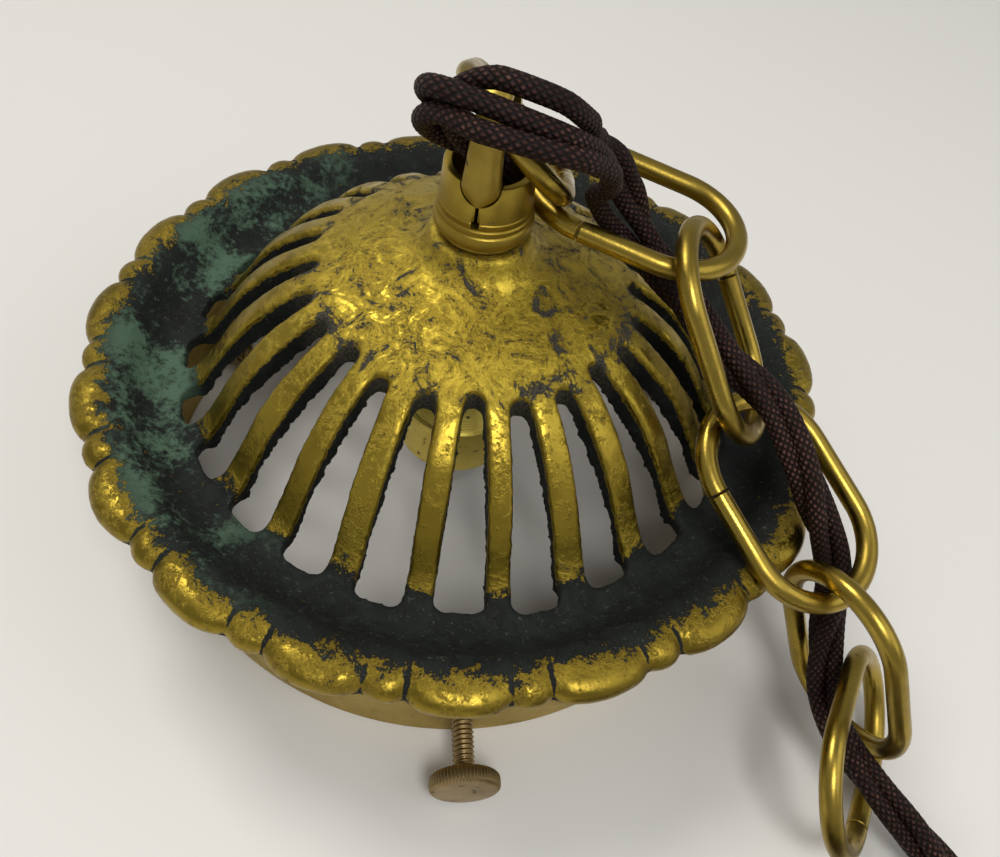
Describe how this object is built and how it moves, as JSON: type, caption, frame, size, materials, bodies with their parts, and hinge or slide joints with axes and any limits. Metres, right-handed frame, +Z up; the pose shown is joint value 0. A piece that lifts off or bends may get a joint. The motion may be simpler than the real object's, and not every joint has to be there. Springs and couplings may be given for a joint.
{
  "type": "pendant light fitting",
  "caption": "Pierced scalloped brass crown on a gallery collar with thumb screws, a bayonet lampholder inside, and a chain with a twisted three-core flex.",
  "frame": {"origin": "On the surface that the collar stands on, under the middle of the fitting's box without its flex.", "axes": "+Z up along the crown's axis; +X along the way the chain runs down from the crown; -Y towards the front thumb screw."},
  "size_m": [0.2274, 0.2941, 0.1251],
  "materials": {
    "cast_brass": "cast brass, polished on raised faces, dark and pitted in the hollows",
    "aged_brass": "satin aged brass",
    "turned_brass": "turned and polished brass, slightly tarnished",
    "chain_brass": "drawn brass wire, soft sheen",
    "holder_brass": "bright lacquered brass",
    "steel": "plain steel",
    "insulator": "moulded insulator",
    "braid": "dark brown braided cotton",
    "twine": "natural tape tie"
  },
  "bodies": {
    "fitting": {"crown_casting": "cast_brass", "gallery_collar": "aged_brass", "gallery_screw_1": "steel", "gallery_screw_2": "steel", "gallery_screw_3": "steel", "screw_bush_1": "aged_brass", "screw_bush_2": "aged_brass", "screw_bush_3": "aged_brass", "hanger_nipple": "holder_brass", "clamp_washer": "holder_brass", "lock_nut": "holder_brass", "hook_cup": "turned_brass", "strap_loop": "turned_brass", "holder_cap": "holder_brass", "entry_grub_screw": "steel", "holder_body": "holder_brass", "holder_insert": "insulator", "plunger_spring_1": "steel", "plunger_spring_2": "steel", "terminal_block_live": "holder_brass", "terminal_screw_live": "steel", "lead_live": "braid", "terminal_block_neutral": "holder_brass", "terminal_screw_neutral": "steel", "lead_neutral": "braid", "terminal_block_earth": "holder_brass", "terminal_screw_earth": "steel", "lead_earth": "braid", "cord_stretch": "braid", "cord_coil": "braid", "coil_tie": "twine"},
    "front_thumb_screw": {"thumb_screw_1": "aged_brass"},
    "right_thumb_screw": {"thumb_screw_2": "aged_brass"},
    "left_thumb_screw": {"thumb_screw_3": "aged_brass"},
    "first_plunger": {"contact_plunger_1": "holder_brass"},
    "second_plunger": {"contact_plunger_2": "holder_brass"},
    "first_link": {"chain_link_1": "chain_brass"},
    "second_link": {"chain_link_2": "chain_brass"},
    "third_link": {"chain_link_3": "chain_brass"},
    "fourth_link": {"chain_link_4": "chain_brass"},
    "fifth_link": {"chain_link_5": "chain_brass"},
    "sixth_link": {"chain_link_6": "chain_brass"}
  },
  "joints": [
    {"name": "thumb_screw_1_drive", "type": "slide", "parent": "fitting", "child": "front_thumb_screw", "axis": [-0.1444, 0.9895, 0], "range_m": [-0.006, 0.012]},
    {"name": "thumb_screw_2_drive", "type": "slide", "parent": "fitting", "child": "right_thumb_screw", "axis": [-0.7848, -0.6198, 0], "range_m": [-0.006, 0.012]},
    {"name": "thumb_screw_3_drive", "type": "slide", "parent": "fitting", "child": "left_thumb_screw", "axis": [0.9291, -0.3698, 0], "range_m": [-0.006, 0.012]},
    {"name": "plunger_1_travel", "type": "slide", "parent": "fitting", "child": "first_plunger", "axis": [0, 0, 1], "range_m": [0, 0.003], "stiffness_N_per_m": 600, "springref_m": -0.004, "deforming": ["plunger_spring_1"]},
    {"name": "plunger_2_travel", "type": "slide", "parent": "fitting", "child": "second_plunger", "axis": [0, 0, 1], "range_m": [0, 0.003], "stiffness_N_per_m": 600, "springref_m": -0.004, "deforming": ["plunger_spring_2"]},
    {"name": "link_1_turn", "type": "hinge", "parent": "fitting", "child": "first_link", "pos_m": [-0.00618, 0.01898, 0.0967], "axis": [-0.6685, -0.3216, -0.6705], "range_deg": [-0.1, 6]},
    {"name": "link_2_turn", "type": "hinge", "parent": "fitting", "child": "second_link", "pos_m": [0.02024, 0.01556, 0.08515], "axis": [0.0934, -0.0018, 0.9956], "range_deg": [-4, 0.5]},
    {"name": "link_3_turn", "type": "hinge", "parent": "fitting", "child": "third_link", "pos_m": [0.04195, -0.00392, 0.07182], "axis": [-0.7974, 0.1177, -0.5919], "range_deg": [-6, 5]},
    {"name": "link_4_turn", "type": "hinge", "parent": "fitting", "child": "fourth_link", "pos_m": [0.05976, -0.02994, 0.05238], "axis": [0.2449, -0.2802, 0.9282], "range_deg": [-5, 5]},
    {"name": "link_5_turn", "type": "hinge", "parent": "fitting", "child": "fifth_link", "pos_m": [0.07759, -0.05319, 0.0297], "axis": [-0.8045, -0.5731, -0.1564], "range_deg": [-6, 4]},
    {"name": "link_6_turn", "type": "hinge", "parent": "fitting", "child": "sixth_link", "pos_m": [0.0832, -0.06687, 0.01668], "axis": [0.8109, -0.2486, 0.5297], "range_deg": [-1.5, 12]}
  ]
}
